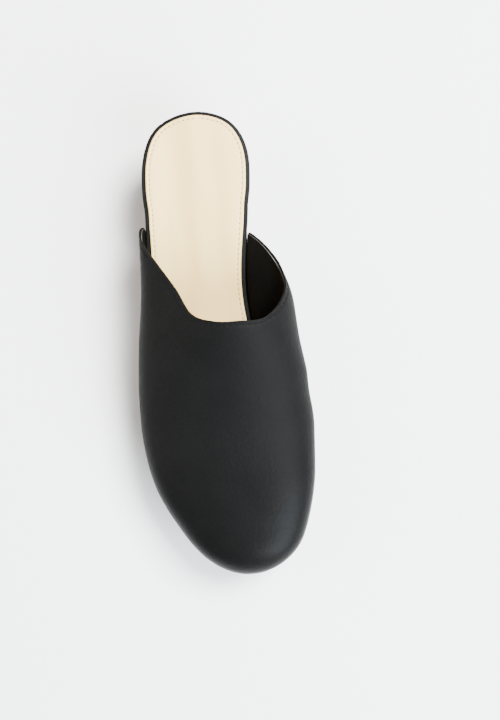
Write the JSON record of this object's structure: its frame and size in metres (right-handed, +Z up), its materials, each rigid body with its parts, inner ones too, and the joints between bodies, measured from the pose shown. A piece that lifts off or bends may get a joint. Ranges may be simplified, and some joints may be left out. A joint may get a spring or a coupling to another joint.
{
  "type": "clog",
  "caption": "Right-foot mule clog: closed-toe black leather upper nailed with brass studs round a wooden sole with a block heel, cream sock and thin rubber soles.",
  "frame": {"origin": "on the floor under the ball of the foot, in the forefoot outsole's flat tread", "axes": "+Y from the toe towards the heel, +X towards the inner (medial) side of the foot, +Z up"},
  "size_m": [0.0928, 0.2493, 0.0714],
  "materials": {
    "black_leather": "smooth, satin",
    "board_leather": "smooth wrapped edge",
    "cream_leather": "soft satin, stitched",
    "wood": "thin matt varnish over open grain",
    "rubber": "crepe-coloured, ribbed, matt",
    "brass": "polished, pale gold"
  },
  "bodies": {
    "root": {"upper": "black_leather", "footbed_board": "board_leather", "sock": "cream_leather", "platform": "wood", "heel_block": "wood", "forefoot_outsole": "rubber", "heel_top_piece": "rubber", "stud_01": "brass", "stud_02": "brass", "stud_03": "brass", "stud_04": "brass", "stud_05": "brass", "stud_06": "brass", "stud_07": "brass", "stud_08": "brass", "stud_09": "brass", "stud_10": "brass", "stud_11": "brass"}
  },
  "joints": []
}
